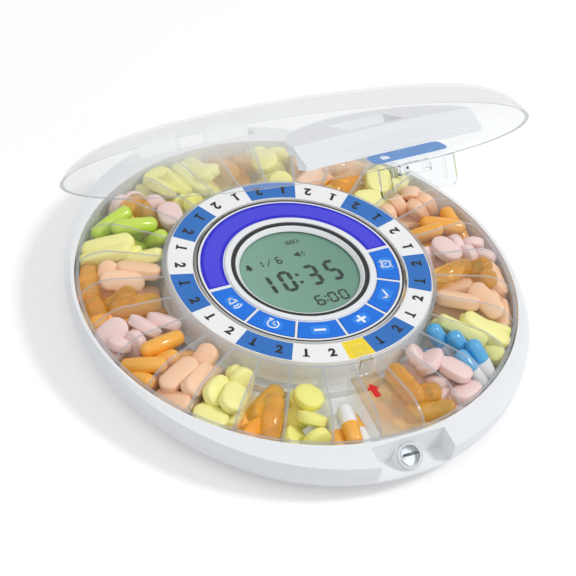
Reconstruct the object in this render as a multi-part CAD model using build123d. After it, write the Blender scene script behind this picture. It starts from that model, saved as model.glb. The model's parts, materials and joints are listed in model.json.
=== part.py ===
from build123d import *
import os
from math import atan2, cos, pi, radians, sin, sqrt

# Automatic pill dispenser. Millimetres, +Z up, origin on the ground under the middle of the
# turning tray. The lock is at the front (-Y), the lid hinge at the back (+Y).

# clearances
running = 0.3              # between pieces that move past each other
fit = 0.1                  # between pieces that are fitted together
pin_fit = 0.05             # round a pin, a shaft or a screw

# base shell
base_length = 229.0        # over the lock and the hinge
base_width = 207.0
base_tuck = 20.0           # radius from the side into the underside
base_wall = 2.2
under_z = 1.2              # height of the underside above the ground
crease_z = 23.8            # crease where the side meets the sloping top band
rim_z = 25.5               # round rim at the top
rim_width = 1.7
deck_z = 11.5              # top of the deck that carries the tray
deck_thickness = 2.0
well_radius = 100.9        # round well that the tray turns in
well_wall = 1.6
collar_width = 2.0         # of the collar that keeps the tray on its axis
collar_height = 4.0

# tray and dosage ring
doses = 29                 # 28 compartments and the home compartment
home_angle = -90.0         # the home compartment faces the lock
tray_play = 0.7            # between the tray and the well
tray_inner_radius = 60.7   # bore of the tray's inner wall
tray_wall = 1.5
tray_floor_z = 11.8
tray_floor = 1.6
tray_rim_z = 25.3
divider_top_z = 33.0
divider_thickness = 1.2
divider_slope = 14.6       # length of each divider's curve down to the tray's rim
ring_outer_radius = 60.0
ring_inner_radius = 48.6
ring_top_z = 34.0
ring_thickness = 1.4
start_plate_thickness = 1.2
clip_width = 6.0
clip_reach = 7.0           # of the clip over the dosage ring
clip_thickness = 0.85
clip_hole = 1.4

# drive
gear_module = 4.0 / 3.0
gear_teeth = 87
pinion_teeth = 15
pressure_angle = 20.0
tooth_share = 0.8          # height of a tooth above the pitch circle, in modules
gear_z = 20.8              # underside of both gears
gear_width = 5.8
gear_backlash = 0.25
gear_rim = 1.3             # wall that stands on the ring gear and carries the dosage ring
motor_radius = 14.0
motor_offset = 9.0         # from the can's middle to its shaft
motor_height = 15.8
motor_edge = 0.8
lead_cover_half = 7.0      # half width of the cover over the motor's leads
lead_cover_depth = 2.4
lead_cover_height = 11.0
motor_ear_x = 33.0
motor_ear_y = 17.5
motor_ear_radius = 3.5
motor_plate_thickness = 1.0
shaft_radius = 2.5
shaft_depth = 2.8          # of the shaft inside the motor

# battery bay, cells and contacts
cell_radius = 7.15
cell_length = 49.2
cell_edge = 0.6
cell_nub = 1.3
cell_nub_radius = 2.7
cell_count = 4
cell_pitch = 14.6
cell_lift = 0.5            # of the cells above the door
bay_x = -6.0               # the bay sits clear of the motor
bay_wall = 1.3
bay_corner = 3.0
bay_roof_z = 19.2
contact_room = 1.6         # between a cell's end and the bay's wall
contact_thickness = 0.35
contact_width = 9.0
contact_height = 10.0
spring_radius = 4.0
spring_tip = 2.6
nub_contact = 2.2
door_thickness = 1.6
groove_count = 5
groove_width = 1.2
groove_pitch = 2.5
groove_length = 16.0
groove_y = 14.0
slit_width = 1.0           # slits that free the sprung end of the door
slit_y = 10.0

# bottom cover, feet and screws
cover_thickness = 2.0
cover_play = 0.2           # round the bottom cover
post_radius = 3.0
screw_hole = 1.1
screw_head = 2.3
screw_head_height = 1.1
screw_head_depth = 1.2
screw_ring = 68.0          # screws of the bottom cover
screw_count = 6
cover_screw_length = 5.6
motor_screw_length = 6.5
motor_screw_head = 2.0
foot_count = 4
foot_ring = 68.0
foot_radius = 6.0
foot_edge = 0.5

# centre housing and keys
hub_radius = 47.2
hub_wall = 2.0
hub_top_z = 34.0
hub_plate = 1.6
hub_bore = 33.0            # opening for the display's bezel
hub_edge = 0.3
pinion_window = 15.0       # half width of the opening that the pinion reaches through
button_count = 6           # keys in the near half of the housing's top
button_outer_radius = 45.0
button_inner_radius = 35.0
button_gap = 0.55          # half of the white bar between two buttons
button_play = 0.25
button_proud = 0.3
button_edge = 0.25
button_lift = 2.9          # underside of a cap above the board
band_thickness = 0.2
band_inset = 1.2

# display, from the bezel's outside to the window
bezel_radius = 34.3
bezel_skirt = 32.8         # part of the bezel inside the housing's opening
bezel_height = 0.8
bezel_soft = 0.3           # its softened top edges
channel_outer = 31.4       # channel for the black ring
channel_inner = 29.4
channel_depth = 0.7
bezel_slope_radius = 28.9
bezel_edge = 0.4           # height of the slope's lower edge above the window
window_radius = 27.4
glass_radius = 29.6
glass_thickness = 0.55
glass_depth = 0.5          # of the glass below the housing's top plate

# electronics
board_radius = 43.5
board_z = 27.0
board_thickness = 1.6
standoff_ring = 40.0
standoff_angles = (35, 90, 145)
standoff_radius = 2.6
standoff_hole = 0.9
board_hole = 1.2
board_screw_length = 4.6
board_screw_head = 1.9
switch_size = 6.0
switch_height = 1.4
plunger_radius = 1.6
plunger_height = 1.75
pad_radii = (33.4, 44.8)
pad_low = 1.8              # of the key pad above the board
pad_thickness = 0.5
buzzer_place = (-18, 27)
buzzer_radius = 6.5
buzzer_height = 5.5
buzzer_hole = 1.0

# lock and its pocket
pocket_half = 18.0
pocket_floor_z = 13.2
pocket_depth = 1.5         # of the pocket's back wall from the well
lock_tilt = 50.0           # the lock's face looks up this far from the horizontal
lock_setback = 8.3         # of the lock behind the base's front
lock_z = 17.6
lock_boss_radius = 6.6
lock_boss_depth = 9.0
lock_ring_radius = 6.0
lock_ring_height = 1.0
lock_barrel_radius = 4.2
lock_barrel_height = 1.2
lock_depth = 2.1           # of the barrel behind the face
grip_length = 7.6
grip_width = 2.2
grip_height = 1.2

# hinge
hinge_setback = 7.6        # of the hinge's axis from the base's back
hinge_z = 17.4
hinge_pin_radius = 1.5
knuckle_radius = 3.6
knuckle_reach = 29.6       # half length of the hinge over its outer knuckles
ear_half = 7.0             # half width of the base's middle hinge ear
notch_half = 30.0
notch_floor_z = 12.8
notch_room = 4.0           # from the hinge's axis to the front of its notch
pin_seat = 3.0             # length of the pin in the wall at each side of the notch

# lid, all given with the lid closed
lid_setback = 1.3          # of the lid's rim from the base's ends
lid_side_setback = 1.4     # of the lid's rim from the base's sides
lid_end_slope = 23.2       # reach of the skirt at the ends
lid_side_slope = 14.7      # reach of the skirt at the sides
lid_shift = -1.1           # the rim's middle, a little nearer the lock than the tray's
lid_top_shift = -6.0       # the flat top sits nearer the lock
lid_rim_z = 25.8
lid_crease_z = 37.6
lid_crown = 3.4
lid_wall = 1.8
lid_steps = 4              # bands of the skirt
lid_open = 35.05           # opening angle in which the part is drawn
scoop_z = 31.2             # lid surface in front of the panel
scoop_slope = 13.0

# dispensing panel let into the lid
panel_half = 41.0
panel_setback = 17.3       # of the panel behind the lid's front edge
panel_back = 16.0          # of the panel behind the outlet
panel_low_z = 29.6
panel_side_z = 35.3        # lower edge of the panel's sides and back
panel_side_start = 7.0     # from the panel's front to where its sides' lower edge begins
panel_wall = 1.6
panel_lift = 1.4           # of the panel above the lid's crown
ramp_z = 32.2              # foot of the panel's ramp
ramp_angle = 39.0
ramp_length = 30.0
outlet_half = 13.0
outlet_place = 3.8         # of the outlet outside the compartments' inner wall
outlet_length = 18.0
outlet_low_z = 34.0
outlet_wall = 1.2

# latch and its label
latch_half = 17.4
latch_setback = 1.2        # of the latch plate behind the base's front
latch_thickness = 1.4
latch_corner = 2.5
latch_rib_x = 12.0
latch_rib_width = 1.2
catch_half = 7.0
catch_depth = 4.2
catch_low_z = 21.0
catch_wall = 1.2
catch_window_x = 4.6
catch_window_width = 2.8
label_drop = 9.4           # down the slope from the panel
label_width = 9.6
label_corner = 2.5
label_thickness = 0.25

# derived sizes
tray_top_of_floor = tray_floor_z + tray_floor
tray_radius = well_radius - tray_play
tray_outer_bore = tray_radius - tray_wall
tray_inner_face = tray_inner_radius + tray_wall
cell_angle = 360 / doses
pitch_radius = gear_module * gear_teeth / 2
pinion_pitch_radius = gear_module * pinion_teeth / 2
tooth_height = tooth_share * gear_module
shaft_x = pitch_radius - pinion_pitch_radius
gear_outer_radius = tray_inner_radius - fit
gear_top_z = gear_z + gear_width
rim_outer_radius = well_radius + rim_width
deck_under_z = deck_z - deck_thickness
cover_z = under_z + cover_thickness
motor_x = shaft_x - motor_offset
motor_z = cover_z + fit
motor_top_z = motor_z + motor_height
motor_plate_z = motor_top_z + fit
screw_angles = [(step + 0.5) * 360 / screw_count for step in range(screw_count)]
plate_under_z = hub_top_z - hub_plate
glass_top_z = plate_under_z - glass_depth
glass_under_z = glass_top_z - glass_thickness
board_top_z = board_z + board_thickness
button_angle = 180 / button_count
cell_bottom_z = under_z + door_thickness + cell_lift
lock_y = lock_setback - base_length / 2
latch_y = latch_setback - base_length / 2
hinge_y = base_length / 2 - hinge_setback
pocket_back_y = -(well_radius + pocket_depth)
notch_front_y = hinge_y - notch_room
lid_half_length = base_length / 2 - lid_setback
lid_half_width = base_width / 2 - lid_side_setback
crown_radius = ((lid_half_length - lid_end_slope) ** 2 + lid_crown ** 2) / (2 * lid_crown)
panel_front_y = lid_shift - lid_half_length + panel_setback
outlet_back_y = -(tray_inner_face + outlet_place)
outlet_front_y = outlet_back_y - outlet_length
panel_back_y = outlet_back_y + panel_back
latch_bottom_z = pocket_floor_z + running
latch_top_z = lid_rim_z - pin_fit
beyond = base_length       # far enough for a cut that leaves the part


def tube(outer, inner, low, high):
    """Round tube about Z between two heights."""
    ring = Circle(outer) - Circle(inner)
    return extrude(Pos(0, 0, low) * ring, high - low)


def disc(radius, low, high):
    """Round bar about Z between two heights."""
    return extrude(Pos(0, 0, low) * Circle(radius), high - low)


def block(x_low, x_high, y_low, y_high, z_low, z_high):
    """Box between two corners."""
    shape = Box(x_high - x_low, y_high - y_low, z_high - z_low)
    return Pos((x_low + x_high) / 2, (y_low + y_high) / 2, (z_low + z_high) / 2) * shape


def polar(radius, angle):
    """Place on a circle, as x and y."""
    return (radius * cos(radians(angle)), radius * sin(radians(angle)))


standoff_spots = [polar(standoff_ring, angle) for angle in standoff_angles]


def sector(inner, outer, first, last, low, high, inset=0.0):
    """Piece of a ring between two angles, its straight ends moved in by inset."""
    middle = (first + last) / 2
    half = (last - first) / 2
    reach = outer * 1.5
    wedge = Polyline((0, 0), polar(reach, first), polar(reach / cos(radians(half)), middle),
                     polar(reach, last), close=True)
    shift = inset / sin(radians(half))
    face = make_face(wedge).moved(Location((*polar(shift, middle), 0)))
    ring = Circle(outer) - Circle(inner)
    return extrude(Pos(0, 0, low) * (ring & face), high - low)


def half_ring(inner, outer, side, low, high, inset):
    """Half of a ring on one side of the X axis, its straight ends moved in by inset."""
    ring = tube(outer, inner, low, high)
    near, far = sorted((side * inset, side * 2 * outer))
    return ring & block(-2 * outer, 2 * outer, near, far, low - 1, high + 1)


def oval(half_length, half_width, z, shift=0.0):
    """Oval of four arcs across the part, its long axis from the lock to the hinge."""
    centre = (half_length - half_width) / (2 - sqrt(2))
    corner_x = (half_length - centre) / sqrt(2)
    corner_y = corner_x + centre
    arcs = ThreePointArc((corner_x, -corner_y), (half_width, 0), (corner_x, corner_y))
    arcs += ThreePointArc((corner_x, corner_y), (0, half_length), (-corner_x, corner_y))
    arcs += ThreePointArc((-corner_x, corner_y), (-half_width, 0), (-corner_x, -corner_y))
    arcs += ThreePointArc((-corner_x, -corner_y), (0, -half_length), (corner_x, -corner_y))
    return Pos(0, shift, z) * make_face(arcs)


# base
def base_form():
    """Upright side with a large radius into the underside."""
    body = extrude(oval(base_length / 2, base_width / 2, under_z), crease_z - under_z)
    return fillet(body.faces().sort_by(Axis.Z)[0].edges(), base_tuck)


def base_hollow():
    """Inside of the base, its round corner made of three straight bands."""
    sections = []
    for step in range(4):
        angle = radians(30 * step)
        inset = base_tuck - (base_tuck - base_wall) * sin(angle)
        z = under_z + base_tuck - (base_tuck - base_wall) * cos(angle)
        sections.append(oval(base_length / 2 - inset, base_width / 2 - inset, z))
    top = extrude(sections[-1], crease_z - base_wall - under_z - base_tuck)
    return loft(sections, ruled=True) + top


def base_band(top):
    """Sloping band from the crease up to the round rim."""
    crease = oval(base_length / 2, base_width / 2, crease_z)
    return loft([crease, oval(rim_outer_radius, rim_outer_radius, top)], ruled=True)


def foot_oval(inset, low, high):
    """Flat of the underside, moved in by inset."""
    reach = base_tuck + inset
    return extrude(oval(base_length / 2 - reach, base_width / 2 - reach, low), high - low)


def lock_plane(outwards=0.0):
    """Plane of the lock's face, moved out along its axis."""
    axis = Vector(0, -cos(radians(lock_tilt)), sin(radians(lock_tilt)))
    return Plane(origin=Vector(0, lock_y, lock_z) + axis * outwards, x_dir=(1, 0, 0), z_dir=axis)


def lock_cylinder(radius, inwards, outwards):
    """Round bar along the lock's axis, from behind its face to in front of it."""
    return extrude(lock_plane(-inwards) * Circle(radius), inwards + outwards)


def hinge_barrel(x_low, x_high, radius):
    """Round bar along the hinge's axis."""
    axis = Plane(origin=(x_low, hinge_y, hinge_z), z_dir=(1, 0, 0))
    return extrude(axis * Circle(radius), x_high - x_low)


def bay_outline(grow):
    """Plan of the battery bay."""
    half_x = (cell_length + cell_nub) / 2 + contact_room + grow
    half_y = cell_pitch * cell_count / 2 + running + grow
    return Pos(bay_x, 0) * RectangleRounded(2 * half_x, 2 * half_y, bay_corner)


def deck_opening():
    """Plan of the opening in the deck for the board, the battery bay and the motor."""
    outline = Circle(board_radius) + bay_outline(bay_wall + 0.4)
    return outline + Pos(motor_x, 0) * Circle(motor_radius + 0.6)


def lock_pocket(shell):
    """Cuts the pocket below the latch and leaves the lock's boss across its inner corner."""
    pocket = block(-pocket_half, pocket_half, -beyond, pocket_back_y, pocket_floor_z, rim_z + 1)
    boss = lock_cylinder(lock_boss_radius, lock_boss_depth, 0) & pocket
    shell = shell - pocket + boss
    shell -= lock_cylinder(lock_ring_radius + pin_fit, 0, 4 * lock_ring_height)
    return shell - lock_cylinder(lock_barrel_radius + pin_fit, lock_depth + fit, 1)


def hinge_notch(shell):
    """Cuts the notch for the hinge, leaves the middle ear and bores the pin's seat."""
    shell -= block(-notch_half, notch_half, notch_front_y, beyond, notch_floor_z, rim_z + 1)
    ear = hinge_barrel(-ear_half, ear_half, knuckle_radius)
    ear += block(-ear_half, ear_half, notch_front_y - 0.5, hinge_y + knuckle_radius,
                 notch_floor_z - 0.5, hinge_z)
    seat = notch_half + pin_seat + 2 * fit
    return shell + ear - hinge_barrel(-seat, seat, hinge_pin_radius + pin_fit)


def base_shell():
    """Hollow base: well and deck for the tray, collar, lock pocket, hinge notch and screw posts."""
    outer = base_form() + base_band(rim_z)
    solid_well = disc(well_radius + well_wall, deck_under_z, rim_z)
    solid_front = block(-pocket_half - 2, pocket_half + 2, -beyond, -90, under_z, rim_z)
    solid_back = block(-notch_half - 4, notch_half + 4, 90, beyond, under_z, rim_z)
    hollow = base_hollow() - solid_well - solid_front - solid_back
    shell = outer - hollow - foot_oval(base_wall, under_z - 1, under_z + base_wall + 1)
    shell -= disc(well_radius, deck_z, rim_z + 1)
    shell -= extrude(deck_opening(), deck_z + 1)
    collar_radius = tray_inner_radius - running
    shell += tube(collar_radius, collar_radius - collar_width, deck_z - 0.5, deck_z + collar_height)
    shell = hinge_notch(lock_pocket(shell))
    for angle in screw_angles:
        spot = Pos(*polar(screw_ring, angle))
        shell += spot * disc(post_radius, cover_z, deck_under_z + 0.5)
        shell -= spot * disc(screw_hole, cover_z - 1, deck_under_z)
    return shell


def bottom_cover():
    """Flat cover with the battery bay, the motor's two posts and sunk screw holes."""
    cover = foot_oval(base_wall + cover_play, under_z, cover_z)
    cover += extrude(Pos(0, 0, under_z) * bay_outline(bay_wall), bay_roof_z - under_z)
    cover -= extrude(Pos(0, 0, under_z - 1) * bay_outline(0), bay_roof_z - bay_wall - under_z + 1)
    for side in (-1, 1):
        spot = Pos(motor_ear_x, side * motor_ear_y)
        cover += spot * disc(post_radius, cover_z - 0.5, motor_plate_z)
        cover -= spot * disc(screw_hole, motor_plate_z - motor_screw_length - 0.5, motor_plate_z + 1)
    for angle in screw_angles:
        spot = Pos(*polar(screw_ring, angle))
        cover -= spot * disc(screw_hole + fit, 0, deck_z)
        cover -= spot * disc(screw_head + fit, 0, under_z + screw_head_depth)
    return cover


def battery_door():
    """Door of the bay: its sprung end stands free between two slits and has a grip of short grooves."""
    door = extrude(Pos(0, 0, under_z) * bay_outline(-running), door_thickness)
    half = groove_length / 2
    for step in range(groove_count):
        low = groove_y + groove_pitch * step
        door -= block(bay_x - half, bay_x + half, low, low + groove_width, under_z - 1, under_z + 0.5)
    for near in (bay_x - half - 2 * slit_width, bay_x + half + slit_width):
        door -= block(near, near + slit_width, slit_y, beyond, 0, cell_bottom_z)
    return door


def cell_row(index):
    """Direction in which a cell's nub points, and its place across the bay and above the ground."""
    turn = 1 if index % 2 else -1
    return turn, (index - (cell_count - 1) / 2) * cell_pitch, cell_bottom_z + cell_radius


def cell(index):
    """Round battery cell lying along X, every other one turned round."""
    turn, y, z = cell_row(index)
    total = cell_length + cell_nub
    body = Plane(origin=(bay_x - turn * total / 2, y, z), z_dir=(turn, 0, 0))
    can = extrude(body * Circle(cell_radius), cell_length)
    can = chamfer(can.edges().filter_by(GeomType.CIRCLE), cell_edge)
    return can + extrude(body.offset(cell_length) * Circle(cell_nub_radius), cell_nub)


def battery_contacts():
    """Sprung plate at each end of each cell, with a coned spring at the flat end."""
    parts = []
    face_reach = (cell_length + cell_nub) / 2 + contact_room - contact_thickness / 2 - pin_fit / 2
    for index in range(cell_count):
        turn, y, z = cell_row(index)
        for side in (-1, 1):
            face_x = bay_x + side * face_reach
            plate = Pos(face_x, y, z) * Box(contact_thickness, contact_width, contact_height)
            seat = Plane(origin=(face_x, y, z), z_dir=(-side, 0, 0))
            if side == -turn:
                plate += loft([seat * Circle(spring_radius), seat.offset(cell_nub) * Circle(spring_tip)])
            else:
                plate += extrude(seat * Circle(nub_contact), cell_nub)
            parts.append(plate)
    return parts


def foot(index):
    """Round rubber foot."""
    pad = disc(foot_radius, 0, under_z)
    pad = chamfer(pad.edges().sort_by(Axis.Z)[0], foot_edge)
    return Pos(*polar(foot_ring, (index + 0.5) * 360 / foot_count)) * pad


def screw(length, head_radius, shank_radius):
    """Pan head screw pointing up from its head's underside at z = 0."""
    return disc(head_radius, -screw_head_height, 0) + disc(shank_radius, 0, length)


def cover_screws():
    """Screws that hold the bottom cover to the posts of the shell."""
    fixing = screw(cover_screw_length, screw_head, screw_hole - pin_fit)
    return [Pos(*polar(screw_ring, angle), under_z + screw_head_depth) * fixing for angle in screw_angles]


# drive
def drive_motor():
    """Geared motor: a low can with a lead cover at its side and a bore for the shaft."""
    can = disc(motor_radius, motor_z, motor_top_z)
    can = Pos(motor_x, 0) * chamfer(can.edges().filter_by(GeomType.CIRCLE), motor_edge)
    reach = motor_radius + lead_cover_depth
    can += block(motor_x - reach, motor_x - motor_radius + 3, -lead_cover_half, lead_cover_half,
                 motor_z + 1, motor_z + 1 + lead_cover_height)
    return can - Pos(shaft_x, 0) * disc(shaft_radius + pin_fit, motor_top_z - 3, motor_top_z + 1)


def motor_plate():
    """Plate on top of the motor with an ear on each side."""
    ears = [Pos(motor_ear_x, side * motor_ear_y) * Circle(motor_ear_radius) for side in (-1, 1)]
    outline = Pos(motor_x, 0) * Circle(motor_radius - 0.5) + make_hull([*ears[0].edges(), *ears[1].edges()])
    outline -= Pos(shaft_x, 0) * Circle(shaft_radius + 1.5)
    for side in (-1, 1):
        outline -= Pos(motor_ear_x, side * motor_ear_y) * Circle(screw_hole + fit)
    return extrude(Pos(0, 0, motor_plate_z) * outline, motor_plate_thickness)


def motor_screws():
    """Screws through the plate's ears."""
    fixing = Rot(180, 0, 0) * screw(motor_screw_length, motor_screw_head, screw_hole - pin_fit)
    top = motor_plate_z + motor_plate_thickness
    return [Pos(motor_ear_x, side * motor_ear_y, top) * fixing for side in (-1, 1)]


def involute(base, radius):
    """Angle in radians that the involute of a base circle has turned at a radius."""
    steep = sqrt((radius / base) ** 2 - 1)
    return steep - atan2(steep, 1)


def gear_outline(teeth, inner, outer, thin, steps=3):
    """Toothed outline from inner to outer radius, each tooth thinned by half of the backlash."""
    pitch = gear_module * teeth / 2
    base = pitch * cos(radians(pressure_angle))
    half_tooth = pi / 2 / teeth - thin / 4 / pitch + involute(base, pitch)
    start = max(inner, base)
    radii = [start + (outer - start) * step / steps for step in range(steps + 1)]
    flank = [(radius, half_tooth - involute(base, radius)) for radius in radii]
    if start > inner:
        flank = [(inner, flank[0][1])] + flank
    points = []
    for tooth in range(teeth):
        middle = 2 * pi * tooth / teeth
        for radius, angle in flank:
            points.append((radius * cos(middle - angle), radius * sin(middle - angle)))
        for radius, angle in reversed(flank):
            points.append((radius * cos(middle + angle), radius * sin(middle + angle)))
    return make_face(Polyline(*points, close=True))


def drive_pinion():
    """Pinion on the motor's shaft, one tooth pointing at the ring gear."""
    face = gear_outline(pinion_teeth, pinion_pitch_radius - gear_module, pinion_pitch_radius + tooth_height,
                        gear_backlash)
    wheel = disc(shaft_radius + pin_fit, -1, gear_width + 1)
    return Pos(shaft_x, 0, gear_z) * (extrude(face, gear_width) - wheel)


def motor_shaft():
    """Shaft from inside the motor to just below the pinion's top."""
    return Pos(shaft_x, 0) * disc(shaft_radius, motor_top_z - shaft_depth, gear_top_z - 0.4)


def tray_gear():
    """Ring with inner teeth under the dosage ring, which stands on its upper edge."""
    space = gear_outline(gear_teeth, pitch_radius - tooth_height, pitch_radius + gear_module,
                         -gear_backlash, steps=1)
    face = Circle(gear_outer_radius) - space
    ring = extrude(Pos(0, 0, gear_z) * face, gear_width)
    bore = gear_outer_radius - gear_rim
    return ring + tube(gear_outer_radius, bore, gear_top_z, ring_top_z - ring_thickness)


# tray
def tray_floor_ring():
    """Floor of the compartments."""
    return tube(tray_radius, tray_inner_radius, tray_floor_z, tray_top_of_floor)


def tray_outer_wall():
    """Low wall round the compartments."""
    return tube(tray_radius, tray_outer_bore, tray_top_of_floor, tray_rim_z)


def tray_inner_wall():
    """Tall wall inside the compartments, with the ledge that carries the ring gear."""
    wall = tube(tray_inner_face, tray_inner_radius, tray_top_of_floor, divider_top_z)
    ledge = tube(tray_inner_radius + 0.5, tray_inner_radius - gear_rim, gear_z - 1.5, gear_z - fit)
    return wall + ledge


def tray_dividers():
    """Radial walls between the compartments, level with the ring and curved down to the rim."""
    first = tray_inner_face + 0.02
    last = tray_outer_bore - pin_fit
    bend = last - divider_slope
    fall = divider_top_z - tray_rim_z + fit
    radius = (divider_slope ** 2 + fall ** 2) / (2 * fall)
    half = atan2(divider_slope, radius - fall) / 2
    middle = (bend + radius * sin(half), divider_top_z - radius * (1 - cos(half)))
    low_end = (last, divider_top_z - fall)
    outline = Polyline(low_end, (last, tray_top_of_floor), (first, tray_top_of_floor),
                       (first, divider_top_z), (bend, divider_top_z))
    outline += ThreePointArc((bend, divider_top_z), middle, low_end)
    plate = extrude(Plane.XZ * make_face(outline), divider_thickness / 2, both=True)
    return [Rot(0, 0, home_angle + cell_angle * (step + 0.5)) * plate for step in range(doses)]


def dosage_ring():
    """Flat ring that carries the printed doses."""
    return tube(ring_outer_radius, ring_inner_radius, ring_top_z - ring_thickness, ring_top_z)


def start_plate():
    """Clear plate that closes the home compartment."""
    top = tray_rim_z - 2 * fit
    half = cell_angle / 2
    return sector(tray_inner_face + fit, tray_outer_bore - fit, home_angle - half, home_angle + half,
                  top - start_plate_thickness, top, divider_thickness / 2 + fit)


def ring_clip():
    """Clear clip that reaches over the edge of the dosage ring at the home sector."""
    inner = tray_inner_face + fit
    outer = inner + 1.1
    half = clip_width / 2
    under = ring_top_z + pin_fit
    top = block(-half, half, -outer, clip_reach - ring_outer_radius, under, under + clip_thickness)
    top -= Pos(0, clip_reach / 2 - ring_outer_radius) * disc(clip_hole, 0, under + 1)
    return top + block(-half, half, -outer, -inner, tray_rim_z + 0.7, ring_top_z + 0.5)


# centre housing
def button_range(index):
    """Angles between which a key lies."""
    first = -180 + button_angle * index
    return first, first + button_angle


def hub_housing():
    """Housing over the drive and the board, with an opening for each key and the bezel."""
    housing = tube(hub_radius, hub_radius - hub_wall, deck_z, hub_top_z - fit)
    housing += tube(hub_radius, hub_bore, plate_under_z, hub_top_z)
    top_edges = housing.edges().filter_by(GeomType.CIRCLE).group_by(Axis.Z)[-1]
    housing = chamfer(top_edges.sort_by(Edge.length)[-1], hub_edge)
    for index in range(button_count):
        first, last = button_range(index)
        housing -= sector(button_inner_radius - button_play, button_outer_radius + button_play, first, last,
                          plate_under_z - 1, hub_top_z + 1, button_gap)
    for spot in standoff_spots:
        post = disc(standoff_radius, board_top_z, plate_under_z + 0.2)
        housing += Pos(*spot) * (post - disc(standoff_hole, 0, plate_under_z - 0.5))
    return housing - block(hub_bore, beyond, -pinion_window, pinion_window, deck_z - 1, board_z - 2 * fit)


def button(index):
    """Key cap: a piece of a ring with a crowned top edge."""
    first, last = button_range(index)
    cap = sector(button_inner_radius, button_outer_radius, first, last, board_top_z + button_lift,
                 hub_top_z + button_proud, button_gap + button_play)
    return fillet(cap.edges().group_by(Axis.Z)[-1], button_edge)


def band_label():
    """Thin label on the housing beside the keys."""
    top = hub_top_z + band_thickness
    outer = button_outer_radius + band_thickness
    return half_ring(button_inner_radius, outer, 1, hub_top_z, top, band_inset)


def display_bezel():
    """Raised white lip, a channel for the black ring, and a slope down to the window."""
    low = glass_top_z + pin_fit
    high = hub_top_z + bezel_height
    soft = high - bezel_soft
    channel_z = hub_top_z - channel_depth
    slope_z = hub_top_z + fit
    lip = [(bezel_skirt, low), (bezel_skirt, hub_top_z), (bezel_radius, hub_top_z), (bezel_radius, soft),
           (bezel_radius - bezel_soft, high), (channel_outer + bezel_soft, high), (channel_outer, soft)]
    channel = [(channel_outer, channel_z), (channel_inner, channel_z), (channel_inner, slope_z)]
    slope = [(bezel_slope_radius, slope_z), (window_radius, low + bezel_edge), (window_radius, low)]
    outline = Polyline(*lip, *channel, *slope, close=True)
    return revolve(Plane.XZ * make_face(outline), Axis.Z)


def display_ring():
    """Black ring in the bezel's channel."""
    low = hub_top_z - channel_depth
    ring = tube(channel_outer - pin_fit, channel_inner + pin_fit, low, hub_top_z + 0.5)
    return chamfer(ring.edges().group_by(Axis.Z)[-1], bezel_soft)


def display_window():
    """Clear disc over the display."""
    return disc(glass_radius, glass_under_z, glass_top_z)


def lcd_module():
    """Display on the board."""
    return disc(glass_radius, board_top_z, glass_under_z - pin_fit)


def circuit_board():
    """Round board with three holes for its screws."""
    board = disc(board_radius, board_z, board_top_z)
    for spot in standoff_spots:
        board -= Pos(*spot) * disc(board_hole, 0, board_top_z + 1)
    return board


def board_screws():
    """Screws from below the board into the housing's posts."""
    fixing = screw(board_screw_length, board_screw_head, standoff_hole - pin_fit)
    return [Pos(*spot, board_z) * fixing for spot in standoff_spots]


def key_switches():
    """Push switch under each key."""
    place = Pos((button_inner_radius + button_outer_radius) / 2, 0, board_top_z)
    body = Box(switch_size, switch_size, switch_height, align=(Align.CENTER, Align.CENTER, Align.MIN))
    body += disc(plunger_radius, switch_height - 0.4, plunger_height)
    return [Rot(0, 0, sum(button_range(index)) / 2) * place * body for index in range(button_count)]


def key_pad():
    """Silicone sheet under the buttons."""
    low = board_top_z + pad_low
    return half_ring(*pad_radii, -1, low, low + pad_thickness, 0.4)


def buzzer():
    """Round buzzer under the board with a small hole."""
    low = board_z - buzzer_height
    return Pos(*buzzer_place) * (disc(buzzer_radius, low, board_z) - disc(buzzer_hole, low - 1, low + 1))


# lock
def lock_ring():
    """Bright ring round the lock."""
    ring = lock_plane() * (Circle(lock_ring_radius) - Circle(lock_barrel_radius + running))
    return extrude(ring, lock_ring_height)


def lock_barrel():
    """Turning barrel with a raised grip across its face."""
    barrel = lock_cylinder(lock_barrel_radius, lock_depth, lock_barrel_height)
    grip = lock_plane(lock_barrel_height - fit) * SlotOverall(grip_length, grip_width)
    return barrel + extrude(grip, grip_height + fit)


# lid, modelled closed and then opened
def opened(shape):
    """Turns a piece of the closed lid to the angle in which the part is drawn."""
    return shape.rotate(Axis((0, hinge_y, hinge_z), (1, 0, 0)), -lid_open)


def crown(lift):
    """Large ball whose upper surface is the low crown of the lid."""
    centre_z = lid_crease_z + lid_crown - crown_radius + lift
    return Pos(0, lid_top_shift, centre_z) * Rot(0, 90, 0) * Sphere(crown_radius)


def lid_form(inset):
    """Lid as a solid: a bulging skirt, straight on above the crease, cut off by the crown."""
    sections = []
    height = lid_crease_z - lid_rim_z
    for step in range(lid_steps + 2):
        part = step / lid_steps
        inwards = (part + 1 - cos(part * pi / 2)) / 2
        upwards = (part + sin(min(part, 1) * pi / 2)) / 2
        half_length = lid_half_length - lid_end_slope * inwards - inset
        half_width = lid_half_width - lid_side_slope * inwards - inset
        z = lid_rim_z + (height - inset / 2) * upwards
        sections.append(oval(half_length, half_width, z, lid_shift + (lid_top_shift - lid_shift) * inwards))
    return loft(sections, ruled=True) & crown(-inset)


def panel_outline(grow):
    """Plan of the dispensing panel: straight at the front and round at the back."""
    half = panel_half + grow
    front = panel_front_y - grow
    back = panel_back_y + grow
    round_side = ThreePointArc((half, front), (0, back), (-half, front))
    return make_face(Line((-half, front), (half, front)) + round_side)


def front_slope(z, angle):
    """Plane from the panel's front edge at a height, rising towards the hinge at an angle."""
    lean = radians(angle)
    return Plane(origin=(0, panel_front_y, z), x_dir=(1, 0, 0), z_dir=(0, -sin(lean), cos(lean)))


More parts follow.
